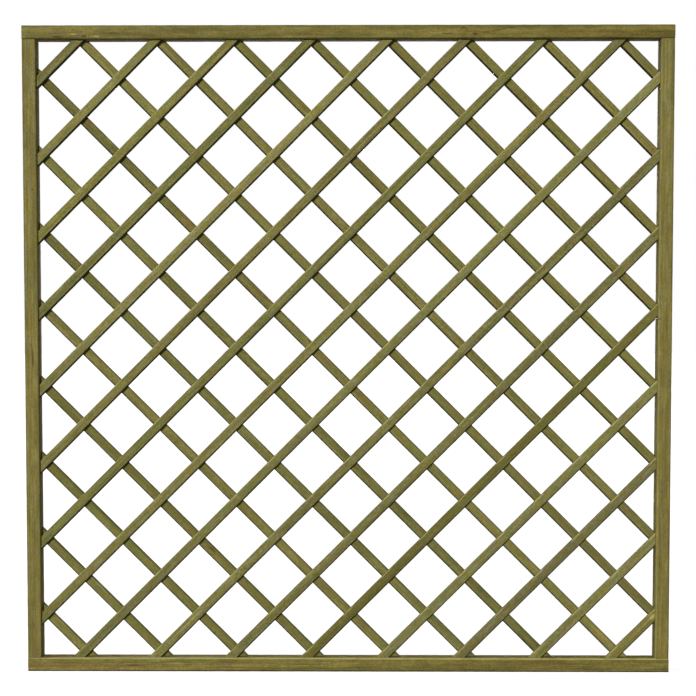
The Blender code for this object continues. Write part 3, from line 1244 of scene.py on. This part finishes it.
# %% [markdown]
# ## Staples on the back
#
# The two layers are stapled together wherever they cross. A staple is a bent wire, so it is a
# short curve with rounded shoulders swept into a flat wire. The crossings are the points of a
# square grid stood on its corner, and the tree puts a staple on each that lies clear of the frame.

# %% Build the staple tree
wire_flatness = 0.7
staple_skew = 0.30
skew_seed = 5
staple_tree, given, leaving = new_group(
    "Staples at the crossings",
    "GeometryNodeTree",
    {
        "Int": "Lines",
        "Float": "Step X, Step Z, Crown, Leg, Wire",
        "Vector": "Middle, Low, High",
        "Material": "Material",
    },
    {"Geometry": "Geometry"},
)
# On its corner, a square cell of the grid is one step wide and one step high.
side = times(minus(given["Lines"], 1.0), 0.5 ** 0.5)
plugs = {"Size X": side, "Size Y": side}
plugs |= {"Vertices X": given["Lines"], "Vertices Y": given["Lines"]}
grid = add_node(staple_tree, "GeometryNodeMeshGrid", plugs)
on_corner = pass_on(grid, "Transform", {"Rotation": (pi / 2, pi / 4, 0.0)})
steps = vector_of(given["Step X"], 1.0, given["Step Z"])
spread = pass_on(on_corner, "Transform", {"Translation": given["Middle"], "Scale": steps})
here = parts_of(add_node(staple_tree, "GeometryNodeInputPosition").outputs[0])
low = parts_of(given["Low"])
high = parts_of(given["High"])
inside = 1.0
for axis in ("X", "Z"):
    inside = times(inside, times(above(here[axis], low[axis]), below(here[axis], high[axis])))
points = pass_on(spread, "MeshToPoints", {"Selection": inside}, mode="VERTICES")

# The wire's path starts as a line of four points, which are then moved to the ends of the legs
# and the two shoulders.
line = add_node(staple_tree, "GeometryNodeCurvePrimitiveLine")
path = pass_on(line, "ResampleCurve", {"Count": 4})
corner = add_node(staple_tree, "GeometryNodeInputIndex").outputs[0]
across_crown = times(minus(above(corner, 1.5), 0.5), given["Crown"])
at_leg_end = above(unsigned(minus(corner, 1.5)), 1.0)
down_leg = times(times(at_leg_end, given["Leg"]), -1.0)
bent = pass_on(path, "SetPosition", {"Position": vector_of(across_crown, 0.0, down_leg)})
rounded = pass_on(bent, "FilletCurve", {"Count": 3, "Radius": given["Wire"]}, mode="POLY")
plugs = {"Width": given["Wire"], "Height": times(given["Wire"], wire_flatness)}
wire_outline = add_node(staple_tree, "GeometryNodeCurvePrimitiveQuadrilateral", plugs)
wire = pass_on(rounded, "CurveToMesh", {"Profile Curve": wire_outline, "Fill Caps": True})

# Each staple's legs point into the timber, and the crown lies level, give or take a few degrees.
plugs = {2: -staple_skew, 3: staple_skew, "Seed": skew_seed}
skew = add_node(staple_tree, "FunctionNodeRandomValue", plugs, data_type="FLOAT").outputs[1]
plugs = {"Instance": wire, "Rotation": vector_of(-pi / 2, skew, 0.0)}
staples_on = pass_on(points, "InstanceOnPoints", plugs)
plug_in(leaving, {"Geometry": set_finish(staples_on, given["Material"])})
print("staple tree:", len(staple_tree.nodes), "nodes")

# %% Shoot the staples
staple_crown = 0.0100
staple_leg = 0.0180
staple_wire = 0.0012
clear_of_frame = 0.020
crown_y = lattice_back + wire_flatness / 2 * staple_wire
staples = mesh_from_tree(
    "crossing_staples",
    staple_tree,
    {
        "Lines": slats_per_layer,
        "Step X": diamond_width,
        "Step Z": diamond_height,
        "Middle": (lattice_x, crown_y, lattice_z),
        "Low": (opening_left + clear_of_frame, 0.0, opening_bottom + clear_of_frame),
        "High": (opening_right - clear_of_frame, 0.0, opening_top - clear_of_frame),
        "Crown": staple_crown,
        "Leg": staple_leg,
        "Wire": staple_wire,
        "Material": plated_steel,
    },
)
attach(staples, "root")
print("staples:", len(staples.data.polygons), "faces, from", [round(v, 4) for v in staples.bound_box[0]])

# %% [markdown]
# ## Light, floor and camera
#
# The photograph is a plain shot on white: the light comes mostly from in front, from above and
# from the left, so the undersides and the right-hand faces are dark. One sun with a wide disc
# gives that light and soft shadows, a second one lights the upper and left edges, and a third
# the back. The world adds a little light from all round, and looks white.

# %% Set the suns
scene = bpy.context.scene


def add_sun(name, level, disc, towards):
    """A sun lamp. Its level is the share of a colour that it gives a face turned towards it."""
    sun = bpy.data.lights.new(name, "SUN")
    sun.energy = level * pi
    sun.angle = radians(disc)
    put_in_scene(name, sun).rotation_euler = Vector(towards).to_track_quat("Z", "Y").to_euler()


add_sun("key", level=0.88, disc=7, towards=(-0.140, -0.951, 0.275))
add_sun("edge light", level=0.76, disc=20, towards=(-0.70, -0.09, 0.71))
# The back light shines level along the panel's depth, so it reaches only what faces the back.
add_sun("back light", level=0.55, disc=5, towards=(0.0, 1.0, 0.0))
print("suns:", [lamp.name for lamp in bpy.data.lights])

# %% Set the light from all round
white = (1.0, 1.0, 1.0, 1.0)
front_fill = 0.10
back_fill = 0.30
fill_turn = 0.15


def looked_at(tree):
    """1 for rays that look at a thing, straight or in a mirror or through glass, and 0 for light."""
    rays = add_node(tree, "ShaderNodeLightPath").outputs
    return larger(larger(rays["Is Camera Ray"], rays["Is Glossy Ray"]), rays["Is Transmission Ray"])


world = bpy.data.worlds.new("studio")
scene.world = world
world.use_nodes = True
tree = world.node_tree
direction = add_node(tree, "ShaderNodeTexCoord").outputs["Generated"]
fill = smooth_step(parts_of(direction)["Y"], -fill_turn, fill_turn, front_fill, back_fill)
seen = looked_at(tree)
strength = times_plus(fill, minus(1.0, seen), seen)
plug_in(tree.nodes["Background"].inputs, {"Color": white, "Strength": strength})
print("world:", len(tree.nodes), "nodes")

# %% Lay the floor
floor_half = 30.0
floor_grey = (0.22, 0.22, 0.22, 1.0)
floor_glow = 0.85
floor_mesh = bpy.data.meshes.new("floor")
floor_corners = [(-floor_half, -floor_half, 0.0), (floor_half, -floor_half, 0.0)]
floor_corners += [(floor_half, floor_half, 0.0), (-floor_half, floor_half, 0.0)]
floor_mesh.from_pydata(floor_corners, [], [(0, 1, 2, 3)])
floor = put_in_scene("floor", floor_mesh)
floor_paint, tree, shader = new_material("white floor")
plug_in(shader, {"Base Color": floor_grey, "Roughness": 0.9, "Emission Color": white})
plug_in(shader, {"Emission Strength": times(looked_at(tree), floor_glow)})
floor_mesh.materials.append(floor_paint)
print("floor:", 2 * floor_half, "m square")

# %% Stand the camera where the photograph was taken from
camera_data = bpy.data.cameras.new("camera")
camera_data.sensor_width = 36.0
camera_data.lens = 57.49
camera_data.shift_y = 0.0199
camera_data.clip_end = 100.0
camera = put_in_scene("camera", camera_data)
stand_right = 0.0192
stand_back = 3.1076
stand_up = 0.9861
look_down = radians(2.119)
look_left = radians(0.3455)
camera.location = (stand_right, -stand_back, stand_up)
camera.rotation_euler = (pi / 2 - look_down, 0.0, look_left)
scene.camera = camera

scene.view_settings.view_transform = "Standard"
print("camera:", stand_back, "m in front of the panel and", stand_up, "m up")
